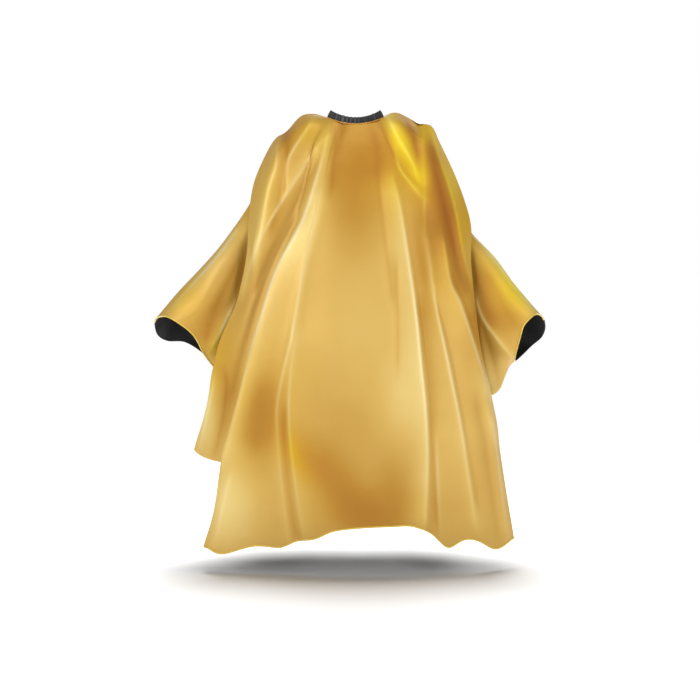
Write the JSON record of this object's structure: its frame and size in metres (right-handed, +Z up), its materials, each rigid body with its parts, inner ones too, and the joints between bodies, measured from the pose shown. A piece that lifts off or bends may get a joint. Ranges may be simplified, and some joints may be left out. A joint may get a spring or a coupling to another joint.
{
  "type": "sleeved cape",
  "caption": "Loose sleeved cape in gold satin with a black lining, a gathered stretch neck band, split back and snap closure at the nape.",
  "frame": {"origin": "centre of the neck opening, level with the top of the band at the front", "axes": "+Z up, the front faces -Y, +X towards the wearer's left hand side"},
  "size_m": [0.9812, 0.4215, 1.0754],
  "materials": {
    "front_panel": "gold polyester satin, soft sheen",
    "front_lining": "black plain-woven polyester, matt",
    "back_yoke_left": "gold polyester satin, soft sheen",
    "yoke_lining_left": "black plain-woven polyester, matt",
    "back_panel_left": "gold polyester satin, soft sheen",
    "back_lining_left": "black plain-woven polyester, matt",
    "sleeve_left": "gold polyester satin, soft sheen",
    "sleeve_lining_left": "black plain-woven polyester, matt",
    "cuff_binding_left": "bright yellow satin binding",
    "back_hem_binding_left": "bright yellow satin binding",
    "back_yoke_right": "gold polyester satin, soft sheen",
    "yoke_lining_right": "black plain-woven polyester, matt",
    "back_panel_right": "gold polyester satin, soft sheen",
    "back_lining_right": "black plain-woven polyester, matt",
    "sleeve_right": "gold polyester satin, soft sheen",
    "sleeve_lining_right": "black plain-woven polyester, matt",
    "cuff_binding_right": "bright yellow satin binding",
    "back_hem_binding_right": "bright yellow satin binding",
    "front_hem_binding": "bright yellow satin binding",
    "neck_band": "gathered charcoal knit casing",
    "neck_elastic": "woven elastic",
    "neckline_piping": "orange-gold satin piping",
    "closure_underlap": "black webbing",
    "closure_tab": "black webbing",
    "snap_cap_a": "black moulded cap",
    "snap_back_a": "black moulded cap",
    "snap_socket_a": "nickel-plated snap ring",
    "snap_stud_a": "nickel-plated snap stud",
    "snap_cap_b": "black moulded cap",
    "snap_back_b": "black moulded cap",
    "snap_socket_b": "nickel-plated snap ring",
    "snap_stud_b": "nickel-plated snap stud"
  },
  "bodies": {
    "garment": {"front_panel": "front_panel", "front_lining": "front_lining", "front_hem_binding": "front_hem_binding", "back_yoke_left": "back_yoke_left", "yoke_lining_left": "yoke_lining_left", "back_yoke_right": "back_yoke_right", "yoke_lining_right": "yoke_lining_right", "neck_band": "neck_band", "neck_elastic": "neck_elastic", "neckline_piping": "neckline_piping", "closure_underlap": "closure_underlap", "snap_back_a": "snap_back_a", "snap_back_b": "snap_back_b", "snap_stud_a": "snap_stud_a", "snap_stud_b": "snap_stud_b"},
    "sleeve_left": {"sleeve_left": "sleeve_left", "sleeve_lining_left": "sleeve_lining_left", "cuff_binding_left": "cuff_binding_left"},
    "sleeve_right": {"sleeve_right": "sleeve_right", "sleeve_lining_right": "sleeve_lining_right", "cuff_binding_right": "cuff_binding_right"},
    "back_left": {"back_panel_left": "back_panel_left", "back_lining_left": "back_lining_left", "back_hem_binding_left": "back_hem_binding_left"},
    "back_right": {"back_panel_right": "back_panel_right", "back_lining_right": "back_lining_right", "back_hem_binding_right": "back_hem_binding_right"},
    "tab": {"closure_tab": "closure_tab", "snap_cap_a": "snap_cap_a", "snap_cap_b": "snap_cap_b", "snap_socket_a": "snap_socket_a", "snap_socket_b": "snap_socket_b"}
  },
  "joints": [
    {"name": "sleeve_left_swing", "type": "hinge", "parent": "garment", "child": "sleeve_left", "pos_m": [-0.248, -0.046, -0.22], "axis": [0.1413, 0.033, 0.9894], "range_deg": [0, 30]},
    {"name": "sleeve_right_swing", "type": "hinge", "parent": "garment", "child": "sleeve_right", "pos_m": [0.258, -0.046, -0.24], "axis": [0.1181, -0.0331, -0.9924], "range_deg": [0, 30]},
    {"name": "back_left_lift", "type": "hinge", "parent": "garment", "child": "back_left", "pos_m": [-0.006, 0.0615, -0.0215], "axis": [0.8118, 0.0391, 0.5826], "range_deg": [0, 40]},
    {"name": "back_right_lift", "type": "hinge", "parent": "garment", "child": "back_right", "pos_m": [0.006, 0.0615, -0.0215], "axis": [0.797, -0.042, -0.6025], "range_deg": [0, 40]},
    {"name": "tab_open", "type": "hinge", "parent": "garment", "child": "tab", "pos_m": [0.0275, 0.049, -0.0068], "axis": [0, 0, -1], "range_deg": [0, 100]}
  ]
}
